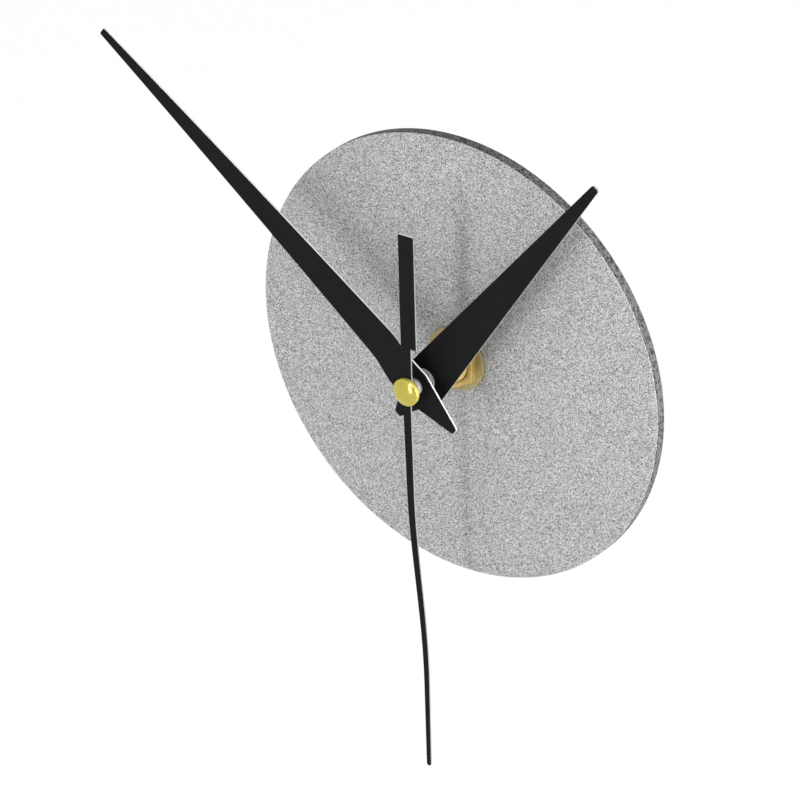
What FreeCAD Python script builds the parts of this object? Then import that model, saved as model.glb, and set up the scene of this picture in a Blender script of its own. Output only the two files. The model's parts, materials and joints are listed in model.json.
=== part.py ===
import FreeCAD, Part
import math
import os
import Sketcher

# Wall clock: a small metal disc, free-standing kite hands and a quartz movement behind the disc.
# +Z points up (to 12 o'clock), the front looks along -Y, and the wall is the plane Y = 0.
# The origin lies on the hands' axis, at the wall.

doc = FreeCAD.newDocument("WallClock")
sheet = doc.addObject("Spreadsheet::Sheet", "Dims")
sheet_rows = []


def put(alias, content):
    """Write one named size, or a sum of named sizes that starts with =, into the sheet."""
    sheet_rows.append(alias)
    cell = "B" + str(len(sheet_rows))
    sheet.set("A" + str(len(sheet_rows)), alias)
    sheet.set(cell, content)
    sheet.setAlias(cell, alias)


# Driving sizes, in millimetres and degrees
driving = {
    # disc and the fixing on its front
    "disc_radius": "60",
    "disc_thickness": "3",
    "disc_chamfer": "0.2",
    "rubber_radius": "9",
    "rubber_thickness": "1",
    "washer_radius": "8.5",
    "washer_thickness": "0.8",
    "washer_round": "0.3",
    "nut_flats": "12.9",
    "nut_angle": "30",
    "nut_thickness": "2.2",
    "nut_face_radius": "7.2",
    "nut_slope": "0.35",
    # threaded bushing and the fit of what it passes through
    "bushing_radius": "5",
    "bushing_showing": "1.6",
    "bushing_chamfer": "0.4",
    "bushing_flange": "7",
    "bushing_flange_thickness": "0.8",
    "hole_play": "0.1",
    "running_play": "0.06",
    "end_play": "0.2",
    "overrun": "0.3",
    # movement case
    "case_depth": "16.5",
    "case_wall": "1.5",
    "case_corner": "3",
    "spring_gap": "2",
    "partition_z": "-12",
    "partition_thickness": "1",
    "cover_thickness": "1.2",
    "cover_ledge": "0.6",
    "cover_play": "0.1",
    "tab_half_width": "9",
    "tab_thickness": "2",
    "tab_rise": "5",
    "tab_hole_radius": "2.5",
    "tab_boss_radius": "4.2",
    # layers of the wheels, counted back from the front wall
    "wheel_thickness": "1",
    "hour_layer": "0.6",
    "minute_layer": "2.2",
    "bridge_layer": "3.6",
    "centre_layer": "4.8",
    "third_layer": "6.4",
    "second_layer": "7.8",
    "drive_layer": "9.2",
    "bridge_thickness": "1",
    "bridge_foot": "2",
    "bridge_drop": "6.3",
    "bridge_side": "2.5",
    "post_radius": "1.5",
    # arbors
    "arbor_radius": "0.4",
    "second_arbor_radius": "0.5",
    "motion_arbor_radius": "0.5",
    "knob_arbor_radius": "0.8",
    "minute_pipe_radius": "1.65",
    "hour_pipe_radius": "2.6",
    "boss_radius": "1.4",
    "boss_height": "1.2",
    "socket_depth": "0.8",
    "clutch_radius": "2.8",
    "clutch_thickness": "0.25",
    # teeth: module of each pair, and where each wheel stands round the one that drives it
    "drive_module": "0.25",
    "second_module": "0.5",
    "third_module": "0.29",
    "minute_module": "0.3",
    "third_angle": "20",
    "intermediate_angle": "105",
    "rotor_angle": "48.24",
    "motion_angle": "180",
    "knob_angle": "180",
    # motor
    "magnet_radius": "2.3",
    "magnet_length": "2.4",
    "magnet_back": "6.8",
    "stator_hole": "2.9",
    "stator_lobe": "4.2",
    "stator_thickness": "0.8",
    "stator_back": "7.6",
    "stator_length": "38",
    "stator_side": "2.5",
    "stator_leg": "3",
    "stator_bar": "4",
    "coil_rise": "4.4",
    "core_height": "2.2",
    "bobbin_half": "2.8",
    "bobbin_wall": "0.5",
    "bobbin_flange": "1",
    "bobbin_play": "0.1",
    "winding_radius": "2.5",
    "stand_radius": "1.2",
    # electronics and battery
    "board_height": "6.6",
    "board_rise": "1.6",
    "board_drop": "0.3",
    "board_side": "0.7",
    "board_thickness": "1",
    "board_back": "2.4",
    "crystal_radius": "1",
    "crystal_length": "6",
    "crystal_side": "5.8",
    "chip_radius": "2.4",
    "chip_height": "0.8",
    "chip_side": "17.8",
    "cell_radius": "7.1",
    "cell_body": "49.2",
    "cell_nub": "1.2",
    "cell_nub_radius": "2.75",
    "cell_play": "0.15",
    "contact_thickness": "0.3",
    "contact_width": "11",
    "strip_width": "3",
    "strip_back": "3.4",
    "finger_reach": "4.2",
    "finger_margin": "2",
    "contact_half": "5",
    # setting knob
    "knob_radius": "4.5",
    "knob_hole": "5",
    "knob_thickness": "1.2",
    "knob_recess": "0.3",
    # hands: heights are from the disc's face to each hand's front
    "hand_thickness": "0.5",
    "hand_corner": "0.35",
    "hour_height": "13.8",
    "hour_angle": "35.7",
    "hour_length": "84.8",
    "hour_half_width": "6.15",
    "hour_wide": "-0.25",
    "hour_shift": "0.5",
    "hour_tip_half": "1.05",
    "hour_tail": "-14.8",
    "hour_tail_half": "1.1",
    "minute_height": "17.6",
    "minute_angle": "-54.4",
    "minute_length": "118.8",
    "minute_half_width": "5.42",
    "minute_wide": "-0.3",
    "minute_shift": "-0.3",
    "minute_tip_half": "1.1",
    "minute_tail": "-15",
    "minute_tail_half": "1.1",
    "minute_dip": "1.45",
    "minute_dip_start": "4",
    "minute_dip_end": "14",
    "second_height": "20.7",
    "second_thickness": "0.4",
    "second_angle": "-1.75",
    "second_blade_end": "-109",
    "second_blade_half": "1.18",
    "second_tip_half": "0.65",
    "second_blade_shift": "-0.4",
    "second_hub_radius": "2.9",
    "second_neck_half": "1.25",
    "weight_half": "2.3",
    "weight_shift": "0.57",
    "weight_start": "11.9",
    "weight_end": "42.85",
    "bend_start": "-24",
    "bend_end": "-85",
    "bend_depth": "2.4",
    "bend_set": "1.75",
    # collets and cap
    "hour_collar_radius": "3.2",
    "hour_collar_front": "0.4",
    "hour_collar_back": "1.6",
    "minute_collar_radius": "2.25",
    "minute_collar_front": "1.5",
    "minute_collar_back": "1.6",
    "collar_round": "0.3",
    "tube_radius": "1.5",
    "tube_length": "0.8",
    "cap_radius": "3.65",
    "cap_side": "1.1",
    "cap_bevel": "1",
    "cap_bevel_rise": "0.5",
    "cap_dome": "0.3",
    "cap_flat": "1.2",
}
for alias, content in driving.items():
    put(alias, content)
doc.recompute()


def size(alias):
    """Value of one named size."""
    return float(sheet.get(alias))


def amount(text):
    """Value of a sum of named sizes, such as "disc_back - disc_thickness"."""
    total = 0.0
    sign = 1
    for word in text.split():
        if word == "+":
            sign = 1
        elif word == "-":
            sign = -1
        elif word != "0":
            total += sign * size(word)
    return total


def bound(text):
    """The same sum as an expression that reads the sheet."""
    words = []
    for word in text.split():
        words.append(word if word in ("+", "-", "0") else "Dims." + word)
    return " ".join(words)


def bind(obj, **properties):
    for name, text in properties.items():
        obj.setExpression(name.replace("_", "."), bound(text))


# Gear train: tooth counts, and where each arbor stands in the plane of the disc
rotor_teeth = 8
intermediate_teeth = 60
intermediate_leaves = 8
second_teeth = 32
second_leaves = 8
third_teeth = 60
third_leaves = 8
centre_teeth = 64
minute_leaves = 15
motion_teeth = 45
motion_leaves = 10
hour_teeth = 40
knob_leaves = 12


def spread(module, first, second):
    """Distance between the arbors of two meshed wheels."""
    return module * (first + second) / 2


def beside(point, angle, distance):
    turn = math.radians(angle)
    return (point[0] + distance * math.cos(turn), point[1] + distance * math.sin(turn))


third_distance = spread(size("third_module"), second_leaves, third_teeth)
centre_module = 2 * third_distance / (third_leaves + centre_teeth)
second_distance = spread(size("second_module"), intermediate_leaves, second_teeth)
drive_distance = spread(size("drive_module"), rotor_teeth, intermediate_teeth)
motion_distance = spread(size("minute_module"), minute_leaves, motion_teeth)
hour_module = 2 * motion_distance / (motion_leaves + hour_teeth)
knob_distance = spread(size("minute_module"), motion_teeth, knob_leaves)
axis_place = (0.0, 0.0)
third_place = beside(axis_place, size("third_angle"), third_distance)
intermediate_place = beside(axis_place, size("intermediate_angle"), second_distance)
rotor_place = beside(intermediate_place, size("rotor_angle"), drive_distance)
motion_place = beside(axis_place, size("motion_angle"), motion_distance)
knob_place = beside(motion_place, size("knob_angle"), knob_distance)
for name, place in (
    ("third", third_place),
    ("intermediate", intermediate_place),
    ("rotor", rotor_place),
    ("motion", motion_place),
    ("knob", knob_place),
):
    put(name + "_x", str(place[0]))
    put(name + "_z", str(place[1]))

# Places worked out from the driving sizes. Y runs to the back, so what is in front is lower.
derived = {
    "front_inner": "=case_wall - case_depth",
    "case_front": "=-case_depth",
    "disc_back": "=case_front - rubber_thickness",
    "disc_front": "=disc_back - disc_thickness",
    "washer_front": "=disc_front - washer_thickness",
    "nut_front": "=washer_front - nut_thickness",
    "bushing_front": "=nut_front - bushing_showing",
    "bushing_bore": "=hour_pipe_radius + running_play",
    "recess_back": "=front_inner - hole_play",
    "flange_back": "=recess_back - hole_play",
    "flange_front": "=flange_back - bushing_flange_thickness",
    "hour_bore": "=minute_pipe_radius + running_play",
    "minute_bore": "=second_arbor_radius + running_play",
    "room_half": "=(cell_body + cell_nub + spring_gap) / 2 + contact_thickness",
    "case_half": "=room_half + case_wall",
    "room_bottom": "=partition_z - 2 * (cell_radius + cell_play)",
    "case_bottom": "=room_bottom - case_wall",
    "rotor_bar_low": "=rotor_z - stator_bar / 2",
    "rotor_bar_high": "=rotor_z + stator_bar / 2",
    "core_low": "=rotor_bar_high + coil_rise",
    "core_high": "=core_low + core_height",
    "board_high": "=core_high + board_rise",
    "board_low": "=board_high - board_height",
    "room_top": "=board_high + board_drop",
    "case_top": "=room_top + case_wall",
    "tab_hole_z": "=case_top + tab_rise",
    "cover_top": "=room_top + cover_ledge - cover_play",
    "partition_top": "=partition_z + partition_thickness",
    "cover_half": "=room_half + cover_ledge - cover_play",
    "cover_low": "=partition_top - cover_ledge + cover_play",
    "cover_inner": "=-cover_thickness",
    "cover_boss": "=cover_inner - boss_height",
    "arbor_back": "=cover_boss + socket_depth",
    "socket_end": "=arbor_back + end_play",
    "bridge_back": "=front_inner + bridge_layer + bridge_thickness",
    "bridge_front": "=front_inner + bridge_layer",
    "bridge_low": "=partition_top + bridge_foot",
    "bridge_high": "=room_top - bridge_drop",
    "bridge_half_width": "=room_half - bridge_side",
    "arbor_front": "=bridge_back - bridge_thickness / 2",
    "wall_socket": "=front_inner - socket_depth",
    "wall_arbor": "=wall_socket + end_play",
    "stator_front": "=-stator_back - stator_thickness",
    "stator_right": "=room_half - stator_side",
    "stator_left": "=stator_right - stator_length",
    "core_front": "=stator_front - stator_thickness",
    "core_middle": "=(core_low + core_high) / 2",
    "core_depth_middle": "=stator_front - stator_thickness / 2",
    "board_front": "=-board_back - board_thickness",
    "board_half_width": "=room_half - board_side",
    "crystal_x": "=crystal_side - board_half_width",
    "chip_x": "=chip_side - board_half_width",
    "cell_z": "=partition_z - cell_play - cell_radius",
    "cell_y": "=-(cell_play + cell_radius)",
    "contact_inner": "=room_half - contact_thickness",
    "cell_right": "=contact_inner - cell_nub",
    "cell_left": "=cell_right - cell_body",
    "hour_front": "=disc_front - hour_height",
    "hour_back": "=hour_front + hand_thickness",
    "minute_front": "=disc_front - minute_height",
    "minute_back": "=minute_front + hand_thickness",
    "second_front": "=disc_front - second_height",
    "second_back": "=second_front + second_thickness",
    "hour_collar_tip": "=hour_front - hour_collar_front",
    "hour_collar_foot": "=hour_back + hour_collar_back",
    "minute_collar_tip": "=minute_front - minute_collar_front",
    "minute_collar_foot": "=minute_back + minute_collar_back",
    "tube_back": "=second_back + tube_length",
    "cap_shoulder": "=second_front - cap_side",
    "cap_edge": "=cap_shoulder - cap_bevel_rise",
    "cap_front": "=cap_edge - cap_dome",
}
for alias, content in derived.items():
    put(alias, content)
doc.recompute()

pieces = []


def keep(obj, label):
    """Name a finished piece, so that it is checked and written out."""
    obj.Label = label
    pieces.append(obj)
    return obj


# Bodies from sketches
def plane_of(body, role):
    for feature in body.Origin.OriginFeatures:
        if feature.Role == role:
            return feature
    return None


def pin_corner(sketch, corner, kind, axis, text):
    """Hold one coordinate of a corner at a sum of named sizes."""
    if text == "0":
        sketch.addConstraint(Sketcher.Constraint("PointOnObject", corner, 1, axis))
        return
    index = sketch.addConstraint(Sketcher.Constraint(kind, -1, 1, corner, 1, amount(text)))
    sketch.setExpression("Constraints[" + str(index) + "]", bound(text))


def outline(body, role, corners):
    """A closed outline whose corners are pairs of sums of named sizes."""
    sketch = body.newObject("Sketcher::SketchObject", body.Name + "Outline")
    sketch.AttachmentSupport = (plane_of(body, role), [""])
    sketch.MapMode = "FlatFace"
    points = [FreeCAD.Vector(amount(across), amount(along), 0) for across, along in corners]
    last = len(points)
    for index in range(last):
        sketch.addGeometry(Part.LineSegment(points[index], points[(index + 1) % last]))
    for index in range(last):
        sketch.addConstraint(Sketcher.Constraint("Coincident", index, 2, (index + 1) % last, 1))
    for index, (across, along) in enumerate(corners):
        pin_corner(sketch, index, "DistanceX", -2, across)
        pin_corner(sketch, index, "DistanceY", -1, along)
    return sketch


def revolved(name, corners):
    """A body turned about the Y axis from corners given as radius and place along Y."""
    body = doc.addObject("PartDesign::Body", name)
    sketch = outline(body, "XY_Plane", corners)
    turn = body.newObject("PartDesign::Revolution", name + "Turn")
    turn.Profile = sketch
    turn.ReferenceAxis = (sketch, ["V_Axis"])
    turn.Angle = 360
    body.Tip = turn
    sketch.Visibility = False
    return body


def padded(name, corners, thickness, back):
    """A flat body padded forward from its back, with corners given as X and Z."""
    body = doc.addObject("PartDesign::Body", name)
    sketch = outline(body, "XZ_Plane", corners)
    pad = body.newObject("PartDesign::Pad", name + "Pad")
    pad.Profile = sketch
    bind(pad, Length=thickness)
    bind(body, Placement_Base_y=back)
    body.Tip = pad
    return body


def holed(body, radius):
    """Cut a round hole about the Y axis through a padded body."""
    sketch = body.newObject("Sketcher::SketchObject", body.Name + "Hole")
    sketch.AttachmentSupport = (plane_of(body, "XZ_Plane"), [""])
    sketch.MapMode = "FlatFace"
    sketch.addGeometry(Part.Circle(FreeCAD.Vector(0, 0, 0), FreeCAD.Vector(0, 0, 1), amount(radius)))
    sketch.addConstraint(Sketcher.Constraint("Coincident", 0, 3, -1, 1))
    index = sketch.addConstraint(Sketcher.Constraint("Radius", 0, amount(radius)))
    sketch.setExpression("Constraints[" + str(index) + "]", bound(radius))
    pocket = body.newObject("PartDesign::Pocket", body.Name + "Pocket")
    pocket.Profile = sketch
    pocket.Type = 1
    pocket.Midplane = True
    body.Tip = pocket
    return body


# Primitives and booleans. An edge runs along Y where that is nearly all of its direction.
along_y_share = 0.9
forward = FreeCAD.Rotation(FreeCAD.Vector(1, 0, 0), 90)
sideways = FreeCAD.Rotation(FreeCAD.Vector(0, 1, 0), 90)


def block(name, x, y, z):
    """A box between low and high sums of named sizes."""
    box = doc.addObject("Part::Box", name)
    for prop, axis, (low, high) in (("Length", "x", x), ("Width", "y", y), ("Height", "z", z)):
        box.setExpression(prop, "(" + bound(high) + ") - (" + bound(low) + ")")
        box.setExpression("Placement.Base." + axis, bound(low))
    return box


def rod(name, radius, back, front, x="0", z="0"):
    """A cylinder along Y that runs forward from its back to its front."""
    cylinder = doc.addObject("Part::Cylinder", name)
    cylinder.Placement = FreeCAD.Placement(FreeCAD.Vector(0, 0, 0), forward)
    cylinder.setExpression("Height", "(" + bound(back) + ") - (" + bound(front) + ")")
    bind(cylinder, Radius=radius, Placement_Base_x=x, Placement_Base_y=back, Placement_Base_z=z)
    return cylinder


def joined(name, shapes):
    fuse = doc.addObject("Part::MultiFuse", name)
    fuse.Shapes = shapes
    return fuse


def cut(name, base, tools):
    result = doc.addObject("Part::Cut", name)
    result.Base = base
    result.Tool = tools[0] if len(tools) == 1 else joined(name + "Tools", tools)
    return result


def shaped(label, shape, place):
    """A piece whose shape comes from a formula."""
    feature = doc.addObject("Part::Feature", label)
    feature.Shape = shape
    feature.Placement = place
    return keep(feature, label)


# Hubs are as thick as this share of their arbor.
# Teeth: height above and below the pitch circle as shares of the module, and half widths
# at the root, the pitch circle and the tip as shares of half a tooth's pitch
hub_share = 2
tip_share = 0.8
root_share = 1.15
root_half_share = 0.5
pitch_half_share = 0.38
tip_half_share = 0.16


def layer(name):
    """Back and front of a layer of wheels."""
    front = size("front_inner") + size(name)
    return front + size("wheel_thickness"), front


def extruded(corners, back, front):
    """A solid between two places along Y from corners in the plane of the disc."""
    points = [FreeCAD.Vector(x, back, z) for x, z in corners]
    face = Part.Face(Part.makePolygon(points + points[:1]))
    return face.extrude(FreeCAD.Vector(0, front - back, 0))


def toothed(teeth, module, phase, name):
    """A toothed ring's blank, with a tooth centred at the phase angle."""
    pitch_radius = teeth * module / 2
    outer = pitch_radius + tip_share * module
    inner = pitch_radius - root_share * module
    half_pitch = 180 / teeth
    flank = (
        (inner, -root_half_share),
        (pitch_radius, -pitch_half_share),
        (outer, -tip_half_share),
        (outer, tip_half_share),
        (pitch_radius, pitch_half_share),
        (inner, root_half_share),
    )
    corners = []
    for tooth in range(teeth):
        middle = phase + 2 * half_pitch * tooth
        corners += [beside(axis_place, middle + share * half_pitch, radius) for radius, share in flank]
    back, front = layer(name)
    return extruded(corners, back, front)


def round_bar(radius, back, front):
    return Part.makeCylinder(radius, back - front, FreeCAD.Vector(0, back, 0), FreeCAD.Vector(0, -1, 0))


def wheel(label, place, parts, bore=None):
    """Fuse rings, arbors and hubs on one axis, bore them, and put them at their place."""
    solid = parts[0].multiFuse(parts[1:]) if len(parts) > 1 else parts[0]
    if bore is not None:
        solid = solid.cut(bore)
    arbor_line = FreeCAD.Placement(FreeCAD.Vector(place[0], 0, place[1]), FreeCAD.Rotation())
    return shaped(label, solid.removeSplitter(), arbor_line)


def facing(angle, teeth, phase, other_teeth):
    """Phase at which the other wheel, at this angle, has a gap for this wheel's tooth."""
    pitch = 360 / teeth
    ahead = (phase - angle) % pitch
    return angle + 180 - ahead * teeth / other_teeth + 180 / other_teeth


def hub(front_layer, back_layer, radius):
    """A plain hub between two layers of one wheel."""
    return round_bar(radius, layer(back_layer)[1], layer(front_layer)[0])


third_phase = facing(size("third_angle"), second_leaves, 0, third_teeth)
centre_phase = facing(size("third_angle") + 180, third_leaves, 0, centre_teeth)
second_phase = facing(size("intermediate_angle") + 180, intermediate_leaves, 0, second_teeth)
intermediate_phase = facing(size("rotor_angle") + 180, rotor_teeth, 0, intermediate_teeth)
motion_phase = facing(size("motion_angle"), minute_leaves, 0, motion_teeth)
hour_phase = facing(size("motion_angle") + 180, motion_leaves, 0, hour_teeth)
knob_phase = facing(size("knob_angle"), motion_teeth, motion_phase, knob_leaves)

# Second wheel, its pinion and the long arbor that carries the second hand
second_arbor = round_bar(size("second_arbor_radius"), size("arbor_back"), size("second_back"))
wheel(
    "second_wheel",
    axis_place,
    [
        second_arbor,
        toothed(second_teeth, size("second_module"), second_phase, "second_layer"),
        toothed(second_leaves, size("third_module"), 0, "third_layer"),
        hub("third_layer", "second_layer", size("second_arbor_radius") * hub_share),
    ],
)
# Third wheel
wheel(
    "third_wheel",
    third_place,
    [
        round_bar(size("arbor_radius"), size("arbor_back"), size("arbor_front")),
        toothed(third_teeth, size("third_module"), third_phase, "third_layer"),
        toothed(third_leaves, centre_module, 0, "centre_layer"),
        hub("centre_layer", "third_layer", size("arbor_radius") * hub_share),
    ],
)
# Intermediate wheel, driven by the rotor
wheel(
    "intermediate_wheel",
    intermediate_place,
    [
        round_bar(size("arbor_radius"), size("arbor_back"), size("arbor_front")),
        toothed(intermediate_teeth, size("drive_module"), intermediate_phase, "drive_layer"),
        toothed(intermediate_leaves, size("second_module"), 0, "second_layer"),
        hub("second_layer", "drive_layer", size("arbor_radius") * hub_share),
    ],
)
# Rotor: pinion and round magnet
magnet_back = -size("magnet_back")
wheel(
    "rotor",
    rotor_place,
    [
        round_bar(size("arbor_radius"), size("arbor_back"), size("arbor_front")),
        toothed(rotor_teeth, size("drive_module"), 0, "drive_layer"),
        round_bar(size("magnet_radius"), magnet_back, magnet_back - size("magnet_length")),
    ],
)
# Centre wheel, a ring that slips on the minute pipe when the hands are set
centre_bore = round_bar(size("hour_bore"), 0, size("case_front"))
wheel(
    "centre_wheel",
    axis_place,
    [toothed(centre_teeth, centre_module, centre_phase, "centre_layer")],
    centre_bore,
)
# Minute pipe with its pinion and the collar of the clutch
clutch_front = layer("centre_layer")[0] + size("hole_play")
wheel(
    "minute_pipe",
    axis_place,
    [
        round_bar(size("minute_pipe_radius"), clutch_front + size("clutch_thickness"), size("minute_front")),
        round_bar(size("clutch_radius"), clutch_front + size("clutch_thickness"), clutch_front),
        toothed(minute_leaves, size("minute_module"), 0, "minute_layer"),
    ],
    round_bar(size("minute_bore"), 0, size("cap_front")),
)
# Motion-work wheel and its pinion
wheel(
    "motion_work_wheel",
    motion_place,
    [
        round_bar(size("motion_arbor_radius"), size("arbor_front"), size("wall_arbor")),
        toothed(motion_teeth, size("minute_module"), motion_phase, "minute_layer"),
        toothed(motion_leaves, hour_module, 0, "hour_layer"),
        hub("hour_layer", "minute_layer", size("motion_arbor_radius") * hub_share),
    ],
)
# Hour wheel and the hour pipe
wheel(
    "hour_wheel",
    axis_place,
    [
        round_bar(size("hour_pipe_radius"), layer("hour_layer")[0], size("hour_collar_tip")),
        toothed(hour_teeth, hour_module, hour_phase, "hour_layer"),
    ],
    round_bar(size("hour_bore"), 0, size("cap_front")),
)
# Setting knob, its arbor and pinion
wheel(
    "setting_knob",
    knob_place,
    [
        round_bar(size("knob_arbor_radius"), -size("knob_recess"), size("wall_arbor")),
        round_bar(size("knob_radius"), -size("knob_recess"), -size("knob_recess") - size("knob_thickness")),
        toothed(knob_leaves, size("minute_module"), knob_phase, "minute_layer"),
    ],
)

# Disc, washers, nut and bushing
disc = revolved(
    "dial_disc",
    [
        ("bushing_radius + hole_play", "disc_back"),
        ("disc_radius - disc_chamfer", "disc_back"),
        ("disc_radius", "disc_back - disc_chamfer"),
        ("disc_radius", "disc_front + disc_chamfer"),
        ("disc_radius - disc_chamfer", "disc_front"),
        ("bushing_radius + hole_play", "disc_front"),
    ],
)
keep(disc, "dial_disc")
rubber = revolved(
    "rubber_washer",
    [
        ("bushing_radius + hole_play", "case_front"),
        ("rubber_radius", "case_front"),
        ("rubber_radius", "disc_back"),
        ("bushing_radius + hole_play", "disc_back"),
    ],
)
keep(rubber, "rubber_washer")
washer = revolved(
    "brass_washer",
    [
        ("bushing_radius + hole_play", "disc_front"),
        ("washer_radius", "disc_front"),
        ("washer_radius", "washer_front + washer_round"),
        ("washer_radius - washer_round", "washer_front"),
        ("bushing_radius + hole_play", "washer_front"),
    ],
)
keep(washer, "brass_washer")
bushing = revolved(
    "threaded_bushing",
    [
        ("bushing_bore", "flange_back"),
        ("bushing_flange", "flange_back"),
        ("bushing_flange", "flange_front"),
        ("bushing_radius", "flange_front"),
        ("bushing_radius", "bushing_front + bushing_chamfer"),
        ("bushing_radius - bushing_chamfer", "bushing_front"),
        ("bushing_bore", "bushing_front"),
    ],
)
keep(bushing, "threaded_bushing")
prism = doc.addObject("Part::Prism", "NutPrism")
prism.Polygon = 6
prism.setExpression("Circumradius", "Dims.nut_flats / sqrt(3)")
nut_turn = FreeCAD.Rotation(FreeCAD.Vector(0, 0, 1), size("nut_angle"))
prism.Placement = FreeCAD.Placement(FreeCAD.Vector(0, 0, 0), forward * nut_turn)
bind(prism, Height="nut_thickness", Placement_Base_y="washer_front")
# The nut's front corners are turned off by a cone
nut_cone = revolved(
    "NutCone",
    [
        ("bushing_radius", "washer_front"),
        ("washer_radius", "washer_front"),
        ("washer_radius", "nut_front + nut_slope"),
        ("nut_face_radius", "nut_front"),
        ("bushing_radius", "nut_front"),
    ],
)
nut = doc.addObject("Part::Common", "Nut")
nut.Base = prism
nut.Tool = nut_cone
keep(nut, "hex_nut")

# Movement case: a room for the wheels and one for the cell, with posts and sockets
outer = block(
    "CaseOuter", ("0 - case_half", "case_half"), ("case_front", "0"), ("case_bottom", "case_top")
)
doc.recompute()
rounded = doc.addObject("Part::Fillet", "CaseRounded")
rounded.Base = outer
rounded.Edges = [
    (index + 1, size("case_corner"), size("case_corner"))
    for index, edge in enumerate(outer.Shape.Edges)
    if abs(edge.tangentAt(edge.FirstParameter).y) > along_y_share
]
gear_room = block(
    "GearRoom", ("0 - room_half", "room_half"), ("front_inner", "0"), ("partition_top", "room_top")
)
cover_rebate = block(
    "CoverRebate",
    ("0 - room_half - cover_ledge", "room_half + cover_ledge"),
    ("cover_inner", "0"),
    ("partition_top - cover_ledge", "room_top + cover_ledge"),
)
tab_slot = block(
    "TabSlot",
    ("0 - tab_half_width - cover_play", "tab_half_width + cover_play"),
    ("cover_inner", "0"),
    ("room_top", "case_top + overrun"),
)
cell_room = block(
    "CellRoom", ("0 - room_half", "room_half"), ("front_inner", "0"), ("room_bottom", "partition_z")
)
notches = []
for side, x in (
    ("Left", ("0 - room_half", "hole_play - contact_inner")),
    ("Right", ("contact_inner - hole_play", "room_half")),
):
    notch = block(
        "Notch" + side,
        x,
        ("0 - strip_back - strip_width - hole_play", "0 - strip_back + hole_play"),
        ("partition_z - overrun", "partition_top + overrun"),
    )
    notches.append(notch)
case_cuts = [gear_room, cover_rebate, tab_slot, cell_room] + notches
case_cuts.append(rod("BushingHole", "bushing_radius + hole_play", "front_inner", "case_front"))
case_cuts.append(rod("FlangeRecess", "bushing_flange + hole_play", "front_inner", "flange_front"))
for name in ("motion", "knob"):
    socket_radius = name + "_arbor_radius + running_play"
    case_cuts.append(
        rod("Socket" + name, socket_radius, "front_inner", "wall_socket", name + "_x", name + "_z")
    )
case_shell = cut("CaseShell", rounded, case_cuts)
post_places = {
    "LowLeft": ("0 - bridge_half_width + post_radius", "bridge_low + post_radius"),
    "LowRight": ("bridge_half_width - post_radius", "bridge_low + post_radius"),
    "HighLeft": ("0 - bridge_half_width + post_radius", "bridge_high - post_radius"),
    "HighRight": ("bridge_half_width - post_radius", "bridge_high - post_radius"),
}
case_posts = [
    rod("Post" + name, "post_radius", "bridge_front", "front_inner - overrun", x, z)
    for name, (x, z) in post_places.items()
]
keep(joined("Case", [case_shell] + case_posts), "movement_case")

# Middle plate that carries the arbors' front pivots and the motor
bridge_plate = block(
    "BridgePlate",
    ("0 - bridge_half_width", "bridge_half_width"),
    ("bridge_front", "bridge_back"),
    ("bridge_low", "bridge_high"),
)
stator_stands = [
    rod("Stand" + side, "stand_radius", "stator_front", "bridge_back - overrun", x, "rotor_z")
    for side, x in (("Left", "stator_left + stator_leg"), ("Right", "stator_right - stator_leg"))
]
bridge_holes = [rod("BridgeCentre", "minute_pipe_radius + running_play", "bridge_back", "bridge_front")]
for name, radius in (
    ("knob", "knob_arbor_radius"),
    ("motion", "motion_arbor_radius"),
    ("third", "arbor_radius"),
    ("intermediate", "arbor_radius"),
    ("rotor", "arbor_radius"),
):
    hole_radius = radius + " + running_play"
    bridge_holes.append(
        rod("Bridge" + name, hole_radius, "bridge_back", "bridge_front", name + "_x", name + "_z")
    )
keep(cut("Bridge", joined("BridgeParts", [bridge_plate] + stator_stands), bridge_holes), "gear_bridge")

# Back cover with the hanging tab, the arbors' rear bearings and the knob's well
cover_parts = [
    block("CoverPlate", ("0 - cover_half", "cover_half"), ("cover_inner", "0"), ("cover_low", "cover_top")),
    block(
        "TabPlate", ("0 - tab_half_width", "tab_half_width"), ("cover_inner", "0"), ("room_top", "tab_hole_z")
    ),
    rod("TabRound", "tab_half_width", "0", "cover_inner", z="tab_hole_z"),
    rod("TabBoss", "tab_boss_radius", "0", "0 - tab_thickness", z="tab_hole_z"),
]
cover_cuts = [
    rod("KnobWell", "knob_hole", "0", "cover_inner", "knob_x", "knob_z"),
    rod("NailHole", "tab_hole_radius", "0", "0 - tab_thickness", z="tab_hole_z"),
]
bearings = {
    "second": ("0", "0", "second_arbor_radius"),
    "third": ("third_x", "third_z", "arbor_radius"),
    "intermediate": ("intermediate_x", "intermediate_z", "arbor_radius"),
    "rotor": ("rotor_x", "rotor_z", "arbor_radius"),
}
for name, (x, z, radius) in bearings.items():
    cover_parts.append(rod("Boss" + name, "boss_radius", "cover_inner", "cover_boss", x, z))
    cover_cuts.append(rod("Socket" + name, radius + " + running_play", "socket_end", "cover_boss", x, z))
board_middle = "board_high - stand_radius - stand_radius"
for side, x in (("Left", "0 - stator_right"), ("Right", "stator_right - stand_radius")):
    stand = rod("BoardStand" + side, "stand_radius", "cover_inner", "0 - board_back", x, board_middle)
    cover_parts.append(stand)
keep(cut("Cover", joined("CoverParts", cover_parts), cover_cuts), "back_cover")

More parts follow.
